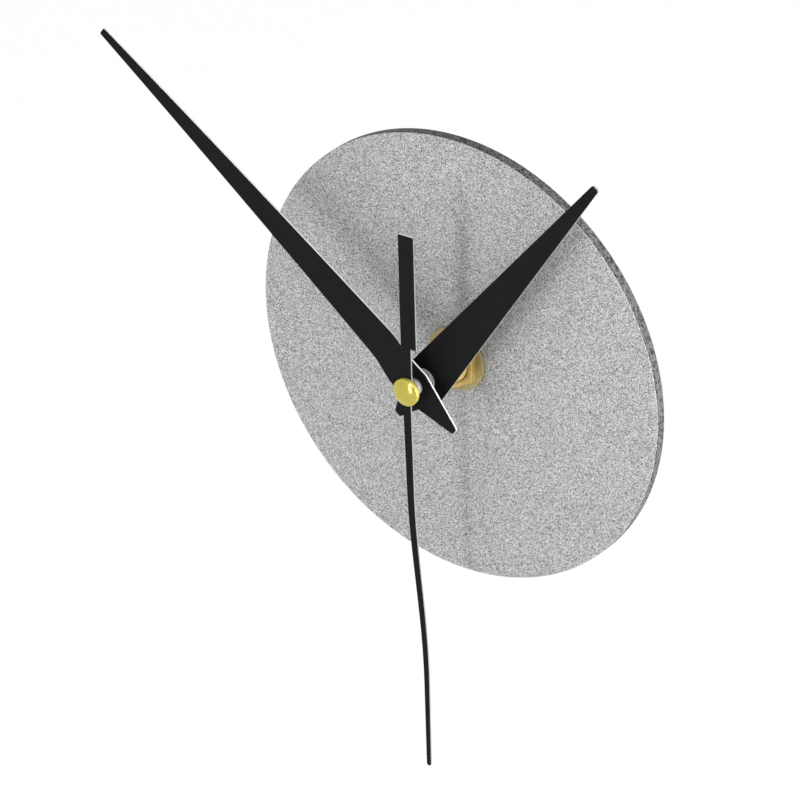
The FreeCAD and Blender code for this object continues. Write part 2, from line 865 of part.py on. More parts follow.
# Motor: stator plate, core, bobbin and winding
bar = block(
    "StatorBar",
    ("stator_left", "stator_right"),
    ("stator_front", "0 - stator_back"),
    ("rotor_bar_low", "rotor_bar_high"),
)
left_leg = block(
    "StatorLeft",
    ("stator_left", "stator_left + stator_leg"),
    ("stator_front", "0 - stator_back"),
    ("rotor_bar_low", "core_high"),
)
right_leg = block(
    "StatorRight",
    ("stator_right - stator_leg", "stator_right"),
    ("stator_front", "0 - stator_back"),
    ("rotor_bar_low", "core_high"),
)
lobe = rod("StatorLobe", "stator_lobe", "0 - stator_back", "stator_front", "rotor_x", "rotor_z")
rotor_hole = rod("RotorHole", "stator_hole", "0 - stator_back", "stator_front", "rotor_x", "rotor_z")
keep(cut("Stator", joined("StatorParts", [bar, left_leg, right_leg, lobe]), [rotor_hole]), "stator")
keep(
    block("Core", ("stator_left", "stator_right"), ("core_front", "stator_front"), ("core_low", "core_high")),
    "coil_core",
)
bobbin_x = ("stator_left + stator_leg + bobbin_play", "stator_right - stator_leg - bobbin_play")
core_hole = block(
    "CoreHole",
    bobbin_x,
    ("core_front - bobbin_play", "stator_front + bobbin_play"),
    ("core_low - bobbin_play", "core_high + bobbin_play"),
)
bobbin_tube = block(
    "BobbinTube",
    bobbin_x,
    ("core_front - bobbin_play - bobbin_wall", "stator_front + bobbin_play + bobbin_wall"),
    ("core_low - bobbin_play - bobbin_wall", "core_high + bobbin_play + bobbin_wall"),
)
flanges = []
for name, low, high in (
    ("Left", bobbin_x[0], bobbin_x[0] + " + bobbin_flange"),
    ("Right", bobbin_x[1] + " - bobbin_flange", bobbin_x[1]),
):
    flange = block(
        "Flange" + name,
        (low, high),
        ("core_depth_middle - bobbin_half", "core_depth_middle + bobbin_half"),
        ("core_middle - bobbin_half", "core_middle + bobbin_half"),
    )
    flanges.append(flange)
keep(cut("Bobbin", joined("BobbinParts", [bobbin_tube] + flanges), [core_hole]), "coil_bobbin")
coil = doc.addObject("Part::Cylinder", "Coil")
coil.Placement = FreeCAD.Placement(FreeCAD.Vector(0, 0, 0), sideways)
bobbin_length = "(" + bound(bobbin_x[1]) + ") - (" + bound(bobbin_x[0]) + ")"
coil.setExpression("Height", bobbin_length + " - 2 * Dims.bobbin_flange")
bind(
    coil,
    Radius="winding_radius",
    Placement_Base_x=bobbin_x[0] + " + bobbin_flange",
    Placement_Base_y="core_depth_middle",
    Placement_Base_z="core_middle",
)
keep(cut("Winding", coil, [bobbin_tube]), "coil_winding")

# Circuit board, crystal and chip
keep(
    block(
        "Board",
        ("0 - board_half_width", "board_half_width"),
        ("board_front", "0 - board_back"),
        ("board_low", "board_high"),
    ),
    "circuit_board",
)
crystal = doc.addObject("Part::Cylinder", "Crystal")
crystal.Placement = FreeCAD.Placement(FreeCAD.Vector(0, 0, 0), sideways)
bind(
    crystal,
    Radius="crystal_radius",
    Height="crystal_length",
    Placement_Base_x="crystal_x",
    Placement_Base_y="board_front - crystal_radius",
    Placement_Base_z=board_middle,
)
keep(crystal, "quartz_crystal")
chip = doc.addObject("Part::Cone", "Chip")
chip.Placement = FreeCAD.Placement(FreeCAD.Vector(0, 0, 0), forward)
chip.setExpression("Radius2", "Dims.chip_radius / 2")
bind(
    chip,
    Radius1="chip_radius",
    Height="chip_height",
    Placement_Base_x="chip_x",
    Placement_Base_y="board_front",
    Placement_Base_z=board_middle,
)
keep(chip, "driver_chip")

# Battery and its contacts
cell_body = doc.addObject("Part::Cylinder", "CellBody")
cell_nub = doc.addObject("Part::Cylinder", "CellNub")
for cylinder, radius, length, start in (
    (cell_body, "cell_radius", "cell_body", "cell_left"),
    (cell_nub, "cell_nub_radius", "cell_nub", "cell_right"),
):
    cylinder.Placement = FreeCAD.Placement(FreeCAD.Vector(0, 0, 0), sideways)
    bind(
        cylinder,
        Radius=radius,
        Height=length,
        Placement_Base_x=start,
        Placement_Base_y="cell_y",
        Placement_Base_z="cell_z",
    )
keep(joined("Cell", [cell_body, cell_nub]), "battery_cell")
contact_z = ("cell_z - contact_half", "cell_z + contact_half")
strip_y = ("0 - strip_back - strip_width", "0 - strip_back")
right_finger = ("room_half - finger_reach", "room_half")
left_finger = ("0 - room_half", "finger_reach - room_half")
for label, x, finger in (
    ("contact_positive", ("contact_inner", "room_half"), right_finger),
    ("contact_negative", ("0 - room_half", "0 - contact_inner"), left_finger),
):
    finger_y = ("board_front - contact_thickness", "board_front")
    parts = [
        block(label + "Plate", x, ("0 - strip_back - contact_width", "0 - strip_back"), contact_z),
        block(label + "Strip", x, strip_y, (contact_z[0], "board_high")),
        block(label + "Finger", finger, finger_y, ("board_low + finger_margin", "board_high")),
    ]
    if label == "contact_negative":
        # The leaf spring is a cone pressed out of the plate towards the cell
        spring = doc.addObject("Part::Cone", label + "Spring")
        spring.Placement = FreeCAD.Placement(FreeCAD.Vector(0, 0, 0), sideways)
        spring.setExpression("Radius2", "Dims.cell_nub_radius / 2")
        spring.setExpression("Height", "Dims.cell_left - Dims.hole_play + Dims.contact_inner")
        bind(
            spring,
            Radius1="cell_nub_radius",
            Placement_Base_x="0 - contact_inner",
            Placement_Base_y="cell_y",
            Placement_Base_z="cell_z",
        )
        parts.append(spring)
    keep(joined(label + "Parts", parts), label)


# Hour and minute hands: kites in sheet metal, turned to the time shown
def kite(name):
    """Corners of a kite hand, from its right tip round to its left tip.

    The kite may stand a little to the right of the axis, as the stamped blank does.
    """
    half, tip, tail = name + "_half_width", name + "_tip_half", name + "_tail_half"
    end, wide, foot = name + "_length", name + "_wide", name + "_tail"
    right = [
        (tip + " - hand_corner", end),
        (tip, end + " - hand_corner"),
        (half, wide),
        (tail, foot + " + hand_corner"),
        (tail + " - hand_corner", foot),
    ]
    left = [("0 - " + x.replace(" - ", " + "), z) for x, z in reversed(right)]
    return [(x + " + " + name + "_shift", z) for x, z in right + left]


def clock_turn(name):
    """Placement of a hand that points at its angle, clockwise from 12 o'clock."""
    turn = FreeCAD.Rotation(FreeCAD.Vector(0, 1, 0), size(name + "_angle"))
    return FreeCAD.Placement(FreeCAD.Vector(0, 0, 0), turn)


def ease(share):
    """Smooth step from 0 to 1."""
    held = min(max(share, 0.0), 1.0)
    return (1 - math.cos(math.pi * held)) / 2


def bent(flat, stations, dip, name, thickness):
    """Give a hand's flat outline the bend of a thin strip whose front dips back along Z."""
    reach = flat.BoundBox.XLength
    front = size(name + "_front")
    front_line = [FreeCAD.Vector(-reach, front + dip(z), z) for z in stations]
    back_line = [point + FreeCAD.Vector(0, thickness, 0) for point in reversed(front_line)]
    side = Part.Face(Part.makePolygon(front_line + back_line + front_line[:1]))
    strip = side.extrude(FreeCAD.Vector(2 * reach, 0, 0))
    return flat.common(strip).removeSplitter()


def evenly(start, end, steps):
    return [start + (end - start) * step / steps for step in range(steps + 1)]


bend_steps = 12
hour = padded("HourHand", kite("hour"), "hand_thickness", "hour_back")
holed(hour, "hour_pipe_radius + collar_round")
hour.Placement = clock_turn("hour")
keep(hour, "hour_hand")


def minute_bow(z):
    """The minute hand is cranked towards the disc past its hub and rises again to its tip."""
    crank = (z - size("minute_dip_start")) / (size("minute_dip_end") - size("minute_dip_start"))
    rise = max(0.0, z - size("minute_dip_end")) / (size("minute_length") - size("minute_dip_end"))
    return size("minute_dip") * ease(crank) * (1 - rise**2)


minute_flat = extruded(
    [(amount(x), amount(z)) for x, z in kite("minute")], size("disc_front"), size("cap_front")
)
minute_hole = round_bar(amount("minute_pipe_radius + collar_round"), 0, size("cap_front"))
minute_stations = [size("minute_tail") - size("hand_corner")]
minute_stations += evenly(size("minute_dip_start"), size("minute_dip_end"), bend_steps // 2)
minute_stations += evenly(size("minute_dip_end"), size("minute_length"), bend_steps)[1:]
minute_solid = bent(
    minute_flat.cut(minute_hole), minute_stations, minute_bow, "minute", size("hand_thickness")
)
shaped("minute_hand", minute_solid, clock_turn("minute"))
# Each white collet grips its pipe, passes through the hand and is spread over its front
for name, bore in (("hour", "hour_pipe_radius"), ("minute", "minute_pipe_radius")):
    collar = name + "_collar_radius"
    collet = revolved(
        name + "_hand_collet",
        [
            (bore, name + "_collar_foot"),
            (collar + " - collar_round", name + "_collar_foot"),
            (collar, name + "_collar_foot - collar_round"),
            (collar, name + "_back"),
            (bore + " + collar_round", name + "_back"),
            (bore + " + collar_round", name + "_front"),
            (collar, name + "_front"),
            (collar, name + "_collar_tip + collar_round"),
            (collar + " - collar_round", name + "_collar_tip"),
            (bore, name + "_collar_tip"),
        ],
    )
    keep(collet, name + "_hand_collet")

# Second hand: one thin strip, with a counterweight above and a blade below that bends
# gently back towards the disc and a little sideways
def bend(z):
    """How far along its bend the blade is at a height, from 0 to 1."""
    return ease((size("bend_start") - z) / (size("bend_start") - size("bend_end")))


hub_flat = math.sqrt(size("second_hub_radius") ** 2 - size("second_neck_half") ** 2)
blade_end = size("second_blade_end")
tip_round = size("second_tip_half")
bend_z = evenly(size("bend_start"), size("bend_end"), bend_steps)
blade_z = [-hub_flat] + bend_z + [blade_end + tip_round]


def blade_half(z):
    share = z / blade_end
    return size("second_blade_half") * (1 - share) + size("second_tip_half") * share


def blade_centre(z):
    """Sideways place of the blade's middle: beside the axis at its root, then along its bend."""
    root = max(0.0, 1 - z / size("bend_start"))
    return size("second_blade_shift") * root + size("bend_set") * bend(z)


right_side = [(blade_centre(z) + blade_half(z), z) for z in blade_z]
left_side = [(blade_centre(z) - blade_half(z), z) for z in reversed(blade_z)]
tip_points = []
for step in range(1, bend_steps // 2):
    turn = math.pi * step / (bend_steps // 2)
    tip_points.append(
        (size("bend_set") + tip_round * math.cos(turn), blade_end + tip_round - tip_round * math.sin(turn))
    )
weight_left = size("weight_shift") - size("weight_half")
weight_right = size("weight_shift") + size("weight_half")
weight = [
    (weight_left, size("weight_start")),
    (weight_left, size("weight_end")),
    (weight_right, size("weight_end")),
    (weight_right, size("weight_start")),
]
neck_left = [(-size("second_neck_half"), hub_flat), (-size("second_neck_half"), size("weight_start"))]
neck_right = [(size("second_neck_half"), size("weight_start")), (size("second_neck_half"), hub_flat)]
second_corners = right_side + tip_points + left_side + neck_left + weight + neck_right
second_hub = round_bar(size("second_hub_radius"), size("disc_front"), size("cap_front"))
second_flat = extruded(second_corners, size("disc_front"), size("cap_front")).fuse(second_hub)
second_solid = bent(
    second_flat,
    [size("weight_end")] + bend_z + [blade_end],
    lambda z: size("bend_depth") * bend(z),
    "second",
    size("second_thickness"),
)
shaped("second_hand", second_solid, clock_turn("second"))
tube = revolved(
    "second_hand_tube",
    [
        ("second_arbor_radius", "tube_back"),
        ("tube_radius", "tube_back"),
        ("tube_radius", "second_back"),
        ("second_arbor_radius", "second_back"),
    ],
)
keep(tube, "second_hand_tube")
# Cap: a short cylinder with a bevel and a low dome
cap = revolved(
    "hand_cap",
    [
        ("0", "second_front"),
        ("cap_radius", "second_front"),
        ("cap_radius", "cap_shoulder"),
        ("cap_radius - cap_bevel", "cap_edge"),
        ("cap_flat", "cap_front"),
        ("0", "cap_front"),
    ],
)
keep(cap, "hand_cap")

doc.recompute()
faults = [obj.Name for obj in doc.Objects if "Invalid" in obj.State or "Error" in obj.State]
for piece in pieces:
    if piece.Shape.isNull() or not piece.Shape.isValid():
        faults.append(piece.Label)
if faults:
    raise RuntimeError("failed objects: " + ", ".join(faults))
os.makedirs("parts", exist_ok=True)
for piece in pieces:
    piece.Shape.exportStep("parts/" + piece.Label + ".step")
    box = piece.Shape.BoundBox
    print(
        piece.Label,
        "solids",
        len(piece.Shape.Solids),
        "volume",
        round(piece.Shape.Volume, 2),
        "x",
        round(box.XMin, 2),
        round(box.XMax, 2),
        "y",
        round(box.YMin, 2),
        round(box.YMax, 2),
        "z",
        round(box.ZMin, 2),
        round(box.ZMax, 2),
    )
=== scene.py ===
import json
import math

import bmesh
import bpy
from mathutils import Matrix, Vector

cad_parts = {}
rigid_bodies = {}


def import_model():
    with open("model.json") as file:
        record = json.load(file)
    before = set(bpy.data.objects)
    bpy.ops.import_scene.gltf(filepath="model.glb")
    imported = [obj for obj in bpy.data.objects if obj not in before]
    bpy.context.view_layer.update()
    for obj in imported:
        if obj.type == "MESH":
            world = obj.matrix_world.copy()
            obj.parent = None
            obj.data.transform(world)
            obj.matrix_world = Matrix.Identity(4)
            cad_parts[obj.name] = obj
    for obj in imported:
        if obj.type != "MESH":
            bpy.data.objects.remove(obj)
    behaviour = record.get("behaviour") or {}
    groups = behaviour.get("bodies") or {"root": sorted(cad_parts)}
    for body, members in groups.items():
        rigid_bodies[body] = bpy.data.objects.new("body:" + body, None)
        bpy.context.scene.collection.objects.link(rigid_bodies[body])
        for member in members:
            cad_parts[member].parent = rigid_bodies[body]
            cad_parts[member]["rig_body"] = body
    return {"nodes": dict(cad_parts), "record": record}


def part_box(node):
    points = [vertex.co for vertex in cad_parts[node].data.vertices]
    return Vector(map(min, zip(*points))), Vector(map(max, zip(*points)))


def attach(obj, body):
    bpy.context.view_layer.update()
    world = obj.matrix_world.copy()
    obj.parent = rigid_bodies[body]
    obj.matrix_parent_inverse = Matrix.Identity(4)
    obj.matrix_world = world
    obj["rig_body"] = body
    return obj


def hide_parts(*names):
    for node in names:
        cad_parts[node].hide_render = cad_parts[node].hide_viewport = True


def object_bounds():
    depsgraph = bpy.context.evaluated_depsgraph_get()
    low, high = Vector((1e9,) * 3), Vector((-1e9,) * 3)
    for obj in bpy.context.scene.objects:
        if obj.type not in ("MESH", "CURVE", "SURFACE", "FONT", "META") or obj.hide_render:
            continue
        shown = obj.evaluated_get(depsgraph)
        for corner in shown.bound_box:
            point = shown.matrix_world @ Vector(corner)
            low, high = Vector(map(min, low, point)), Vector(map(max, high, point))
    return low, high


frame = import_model()
cad_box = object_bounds()
nodes = frame["nodes"]
node_slots = {part["node"]: part["material_slot"] for part in frame["record"]["subparts"]}
MM = 0.001
bpy.context.scene.view_settings.view_transform = "Standard"

# Places that everything else is set out from, in metres
DISC_LOW, DISC_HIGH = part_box("dial_disc")
FACE_Y = DISC_LOW.y
DISC_RADIUS = DISC_HIGH.x

# Camera: its turn to the right of the disc's axis, its rise over it, and how it is aimed
CAMERA_TURN = math.radians(36.479)
CAMERA_RISE = math.radians(29.673)
CAMERA_DISTANCE = 1432.6 * MM
AIM_RIGHT = -14.169 * MM
AIM_UP = -10.411 * MM
FOCAL_PX = 5782.3
PHOTO_PX = 800
SENSOR_MM = 36


def direction(turn, rise):
    """Unit vector that points to the right of the front by turn, and up by rise."""
    flat = math.cos(rise)
    return Vector((math.sin(turn) * flat, -math.cos(turn) * flat, math.sin(rise)))


def add_camera():
    """The camera of the photo, as fitted to the disc's two rims and the hands."""
    back = direction(CAMERA_TURN, CAMERA_RISE)
    right = Vector((0, 0, 1)).cross(back).normalized()
    up = back.cross(right)
    data = bpy.data.cameras.new("camera")
    data.sensor_width = SENSOR_MM
    data.lens = FOCAL_PX / PHOTO_PX * SENSOR_MM
    camera = bpy.data.objects.new("camera", data)
    bpy.context.scene.collection.objects.link(camera)
    place = Vector((0, FACE_Y, 0)) + back * CAMERA_DISTANCE + right * AIM_RIGHT + up * AIM_UP
    camera.matrix_world = Matrix.Translation(place) @ Matrix((right, up, back)).transposed().to_4x4()
    bpy.context.scene.camera = camera


# Material tools
# The Mix node names its colour sockets like those of its other kinds, so they go by number
MIX_SHARE, MIX_FIRST, MIX_SECOND = 0, 6, 7
MIX_COLOR = 2


def grey(level):
    """A neutral colour."""
    return (level, level, level)


def rgba(color):
    """A colour as a socket takes it; another node's output stays as it is."""
    return color if isinstance(color, bpy.types.NodeSocket) else (*color, 1)


class Finish:
    """A Principled material whose patterns follow the piece's own coordinates, in metres."""

    def __init__(self, name, metallic=0.0, **sockets):
        self.material = bpy.data.materials.new(name)
        self.material.use_nodes = True
        self.tree = self.material.node_tree
        self.shader = self.tree.nodes["Principled BSDF"]
        self.shader.inputs["Metallic"].default_value = metallic
        for socket, value in sockets.items():
            self.shader.inputs[socket.replace("_", " ")].default_value = value
        self.coordinates = self.tree.nodes.new("ShaderNodeTexCoord")
        self.relief = None

    def add(self, kind, inputs=(), **settings):
        """A node with its settings, and its inputs set or linked."""
        made = self.tree.nodes.new("ShaderNode" + kind)
        for name, value in settings.items():
            setattr(made, name, value)
        for name, value in dict(inputs).items():
            if isinstance(value, bpy.types.NodeSocket):
                self.tree.links.new(value, made.inputs[name])
            else:
                made.inputs[name].default_value = value
        return made

    def place(self, stretch=(1, 1, 1)):
        """The piece's coordinates, multiplied along its axes by stretch."""
        if stretch == (1, 1, 1):
            return self.coordinates.outputs["Object"]
        inputs = {"Vector": self.coordinates.outputs["Object"], "Scale": stretch}
        return self.add("Mapping", inputs).outputs["Vector"]

    def noise(self, grain_mm, detail=2.0, stretch=(1, 1, 1)):
        """Soft noise whose features are about grain_mm across."""
        inputs = {"Vector": self.place(stretch), "Scale": 1 / (grain_mm * MM), "Detail": detail}
        return self.add("TexNoise", inputs).outputs["Fac"]

    def cells(self, grain_mm):
        """Random colours in cells of about grain_mm, as separate channels."""
        inputs = {"Vector": self.place(), "Scale": 1 / (grain_mm * MM)}
        color = self.add("TexVoronoi", inputs).outputs["Color"]
        return self.add("SeparateColor", {"Color": color}).outputs

    def along(self, axis, kind="Object"):
        """Place along an axis in metres or, with the kind Normal, how far the surface faces along it."""
        return self.add("SeparateXYZ", {"Vector": self.coordinates.outputs[kind]}).outputs[axis]

    def facing(self, axis="Y"):
        """How far the surface faces along an axis, either way, from 0 at its sides to 1."""
        return self.math("ABSOLUTE", self.along(axis, "Normal"))

    def math(self, operation, *values):
        """The result of a Math node's operation on values or outputs."""
        return self.add("Math", dict(enumerate(values)), operation=operation).outputs[0]

    def remap(self, value, low, high, start=0.0, end=1.0):
        """Value from start to end taken to low to high."""
        inputs = {"Value": value, "From Min": start, "From Max": end, "To Min": low, "To Max": high}
        return self.add("MapRange", inputs).outputs["Result"]

    def past(self, value, start, end):
        """0 where value is below start, rising to 1 where it is past end."""
        return self.remap(value, 0.0, 1.0, start, end)

    def mix(self, share, first, second):
        """Colour between two colours or colour outputs."""
        inputs = {MIX_SHARE: share, MIX_FIRST: rgba(first), MIX_SECOND: rgba(second)}
        return self.add("Mix", inputs, data_type="RGBA").outputs[MIX_COLOR]

    def set(self, socket, value):
        """An output linked to a socket of the shader."""
        self.tree.links.new(value, self.shader.inputs[socket])

    def bump(self, height, depth_mm, strength):
        """Relief of depth_mm on top of any relief set before it."""
        inputs = {"Height": height, "Distance": depth_mm * MM, "Strength": strength}
        if self.relief is not None:
            inputs["Normal"] = self.relief
        self.relief = self.add("Bump", inputs).outputs["Normal"]
        self.set("Normal", self.relief)


# Materials
def flake_metal():
    """Satin metal: fine flakes on the face, a darker side wall with a bright lip that is partly bare cut
    metal and partly painted highlight, and a plain back.
    """
    haze_share = 0.1
    skin = Finish("flake_metal")
    flakes = skin.cells(0.165)
    crumbs = skin.cells(0.38)
    glint = skin.math("MULTIPLY", skin.past(flakes["Red"], 0.3, 0.7), 1 - haze_share)
    haze = skin.math("MULTIPLY", skin.noise(0.4, 1.0), haze_share)
    sparkle = skin.math("ADD", glint, haze)
    facing = skin.facing()
    flat = skin.past(facing, 0.88, 0.95)

    neutral = skin.mix(sparkle, grey(0.10), grey(0.76))
    front = skin.mix(skin.remap(flakes["Green"], 0.0, 0.35, 0.5, 1.0), neutral, (0.42, 0.425, 0.44))
    back = skin.mix(sparkle, grey(0.12), grey(0.26))
    both_faces = skin.mix(skin.past(skin.along("Y", "Normal"), -0.1, 0.1), front, back)
    wall = skin.mix(crumbs["Blue"], grey(0.01), grey(0.17))
    # The lip's pale colour is partly bare cut metal and partly a painted highlight, standing in for the
    # bright line of light along the edge
    lip = skin.mix(crumbs["Red"], grey(0.16), grey(0.85))
    side = skin.mix(skin.past(facing, 0.2, 0.4), wall, lip)
    skin.set("Base Color", skin.mix(flat, side, both_faces))

    scatter = skin.remap(flakes["Blue"], 0.0, 0.2)
    skin.set("Roughness", skin.math("ADD", skin.remap(flat, 0.34, 0.5), scatter))
    skin.set("Metallic", skin.remap(facing, 0.0, 0.5, 0.2, 0.4))
    skin.set("Specular IOR Level", skin.remap(facing, 0.05, 0.3, 0.2, 0.4))
    skin.bump(sparkle, 0.05, 0.5)
    return skin.material


def painted_hand(name, edge_dark, edge_light):
    """Matt black paint, with bare metal at the sheet's cut edges, and a painted highlight that makes the
    ends facing along Z palest.
    """
    skin = Finish(name, Specular_IOR_Level=0.08)
    black = skin.mix(skin.noise(6.0, 3.0), (0.005, 0.005, 0.0052), (0.008, 0.008, 0.0083))
    edge = skin.mix(skin.noise(0.3, 2.0, (1, 6, 1)), edge_dark, edge_light)
    # Ends that face up or down along Z get a pale painted highlight, standing in for light from above
    bare = skin.mix(skin.past(skin.facing("Z"), 0.9, 0.97), edge, (0.80, 0.80, 0.79))
    skin.set("Base Color", skin.mix(skin.past(skin.facing(), 0.8, 0.9), bare, black))
    skin.set("Roughness", skin.remap(skin.noise(0.4, 2.0), 0.45, 0.58))
    skin.bump(skin.noise(0.25, 1.0), 0.003, 0.4)
    return skin.material


def brass(name, dark, light, rough, grain=(1, 6, 1), side_rough=0.0):
    """Machined brass with faint tool lines and a little tarnish, rougher on its sides by side_rough."""
    skin = Finish(name, metallic=0.6)
    skin.set("Base Color", skin.mix(skin.past(skin.noise(2.5, 3.0), 0.3, 0.7), dark, light))
    lines = skin.noise(0.15, 2.0, grain)
    polish = skin.remap(lines, rough - 0.08, rough + 0.12)
    if side_rough:
        side = skin.remap(skin.facing(), side_rough, 0.0, 0.3, 0.8)
        polish = skin.math("ADD", polish, side)
        skin.set("Metallic", skin.remap(side, 0.95, 0.6, 0.0, side_rough))
    skin.set("Roughness", polish)
    skin.bump(lines, 0.004, 0.35)
    return skin.material


def moulded(name, dark, light, rough, grain_mm=0.25, depth_mm=0.01):
    """Moulded plastic with a fine surface grain."""
    skin = Finish(name)
    skin.set("Base Color", skin.mix(skin.noise(4.0, 3.0), dark, light))
    skin.set("Roughness", skin.remap(skin.noise(1.2, 2.0), rough - 0.06, rough + 0.08))
    skin.bump(skin.noise(grain_mm, 2.0), depth_mm, 0.4)
    return skin.material


def sheet_steel(name, dark, light, rough):
    """Rolled and stamped sheet, with lines along X."""
    skin = Finish(name, metallic=1.0)
    lines = skin.noise(0.4, 3.0, (0.12, 1, 1))
    skin.set("Base Color", skin.mix(lines, dark, light))
    skin.set("Roughness", skin.remap(lines, rough - 0.08, rough + 0.1))
    skin.bump(lines, 0.005, 0.3)
    return skin.material


def copper_wire():
    """Enamelled wire wound side by side along X."""
    skin = Finish("copper_wire", metallic=0.9)
    wire_mm = 0.16
    turn = skin.math("MULTIPLY", skin.along("X"), 2 * math.pi / (wire_mm * MM))
    wave = skin.math("SINE", turn)
    enamel = skin.mix(skin.noise(1.5, 2.0, (8, 1, 1)), (0.42, 0.15, 0.05), (0.62, 0.27, 0.11))
    skin.set("Base Color", enamel)
    skin.set("Roughness", skin.remap(wave, 0.42, 0.24, -1.0, 1.0))
    skin.bump(wave, 0.03, 0.7)
    return skin.material


def circuit_board():
    """Green lacquer over faint copper tracks."""
    skin = Finish("circuit_board", Coat_Weight=0.4)
    bands = skin.math("MULTIPLY", skin.noise(2.2, 0.0, (0.35, 1, 1)), 6.0)
    tracks = skin.past(skin.math("PINGPONG", bands, 0.5), 0.18, 0.24)
    skin.set("Base Color", skin.mix(tracks, (0.012, 0.085, 0.032), (0.03, 0.17, 0.06)))
    skin.set("Roughness", skin.remap(tracks, 0.3, 0.42))
    skin.bump(tracks, 0.03, 0.5)
    return skin.material


def cell_sleeve():
    """Shrunk sleeve on the cell: graphite, with a paler band at its positive end."""
    band_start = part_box("battery_cell")[1].x - 14 * MM
    skin = Finish("cell_sleeve", Coat_Weight=0.3)
    graphite = skin.mix(skin.noise(5.0, 2.0), (0.030, 0.034, 0.042), (0.040, 0.045, 0.055))
    band = skin.past(skin.along("X"), band_start, band_start + 0.1 * MM)
    skin.set("Base Color", skin.mix(band, graphite, (0.55, 0.56, 0.58)))
    skin.set("Roughness", skin.remap(skin.noise(0.8, 2.0), 0.22, 0.34))
    skin.bump(skin.noise(2.0, 2.0), 0.01, 0.3)
    return skin.material


# One finish for each material slot of the record
finishes = {
    "disc_metal": flake_metal(),
    "hand_black": painted_hand("painted_hand", grey(0.20), grey(0.26)),
    "brass": brass("machined_brass", (0.60, 0.42, 0.12), (0.88, 0.65, 0.23), 0.34),
    "gold": brass(
        "gold_plate", (0.51, 0.44, 0.08), (0.58, 0.50, 0.11), 0.12,
        grain=(1, 1, 1), side_rough=0.35,
    ),
    "white_plastic": moulded("white_plastic", (0.54, 0.54, 0.535), (0.60, 0.60, 0.595), 0.36),
    "gear_plastic": moulded("gear_plastic", (0.66, 0.64, 0.56), (0.76, 0.74, 0.67), 0.36),
    "knob_plastic": moulded("knob_plastic", (0.44, 0.44, 0.43), (0.50, 0.50, 0.485), 0.45),
    "case_plastic": moulded(
        "case_plastic", (0.016, 0.016, 0.017), (0.024, 0.024, 0.026), 0.5,
        grain_mm=0.3, depth_mm=0.03,
    ),
    "black_rubber": moulded(
        "black_rubber", grey(0.018), grey(0.03), 0.75,
        grain_mm=0.5, depth_mm=0.03,
    ),
    "epoxy": moulded(
        "epoxy", (0.008, 0.008, 0.009), (0.014, 0.014, 0.015), 0.22,
        grain_mm=0.8, depth_mm=0.04,
    ),
    "steel": sheet_steel("rolled_steel", (0.40, 0.40, 0.41), (0.56, 0.56, 0.57), 0.34),
    "plated_steel": sheet_steel("plated_steel", (0.56, 0.56, 0.53), (0.68, 0.68, 0.65), 0.24),
    "copper": copper_wire(),
    "board": circuit_board(),
    "cell_wrap": cell_sleeve(),
}

# Three pieces differ from the rest of their slot; the minute hand's is a lit copy of the hand finish,
# its cut edges painted paler as a painted highlight
dull_brass = brass("dull_brass", (0.35, 0.29, 0.12), (0.50, 0.43, 0.21), 0.42)
natural_nylon = moulded("natural_nylon", (0.26, 0.26, 0.255), (0.31, 0.31, 0.305), 0.42)
# A lit copy of the hand finish: its cut edges are painted paler, a painted highlight for the light they
# catch
highlight_painted_hand = painted_hand("highlight_painted_hand", (0.50, 0.50, 0.49), (0.59, 0.59, 0.58))


# Mesh tools
def finish_mesh(piece, material, sharp_degrees=30):
    """Smooth shading apart from real corners, and the piece's material."""
    piece.data.materials.clear()
    piece.data.materials.append(material)
    for face in piece.data.polygons:
        face.use_smooth = True
    piece.data.set_sharp_from_angle(angle=math.radians(sharp_degrees))


def stand_for(piece, node):
    """The piece replaces a node: it rides on its body, and the node is hidden."""
    body = nodes[node]["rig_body"]
    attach(piece, body)
    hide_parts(node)


def softened(node, width_mm):
    """The node's own shape with its sharp corners rounded off."""
    corner = math.radians(35)
    mesh = nodes[node].data.copy()
    shape = bmesh.new()
    shape.from_mesh(mesh)
    bmesh.ops.remove_doubles(shape, verts=shape.verts, dist=0.001 * MM)
    bmesh.ops.dissolve_limit(shape, angle_limit=math.radians(1), verts=shape.verts, edges=shape.edges)
    sharp = [edge for edge in shape.edges if edge.is_manifold and edge.calc_face_angle() > corner]
    bmesh.ops.bevel(
        shape, geom=sharp, offset=width_mm * MM, segments=2, profile=0.5, affect="EDGES",
        clamp_overlap=False,
    )
    shape.to_mesh(mesh)
    shape.free()
    piece = bpy.data.objects.new(node + "_finished", mesh)
    bpy.context.scene.collection.objects.link(piece)
    finish_mesh(piece, finishes[node_slots[node]], sharp_degrees=50)
    flat_first = piece.modifiers.new("flat_first", "WEIGHTED_NORMAL")
    flat_first.keep_sharp = True
    stand_for(piece, node)


def rounded(corners, steps=4):
    """A profile from (across, along, setback) corners, each cut back and bent by its setback."""
    points = []
    count = len(corners)
    for index, (across, along, setback) in enumerate(corners):
        corner = Vector((across, along))
        if setback == 0:
            points.append(corner)
            continue
        before = Vector(corners[index - 1][:2]) - corner
        after = Vector(corners[(index + 1) % count][:2]) - corner
        start = corner + before.normalized() * setback
        end = corner + after.normalized() * setback
        for step in range(steps + 1):
            share = step / steps
            points.append(start * (1 - share) ** 2 + corner * 2 * share * (1 - share) + end * share**2)
    return points


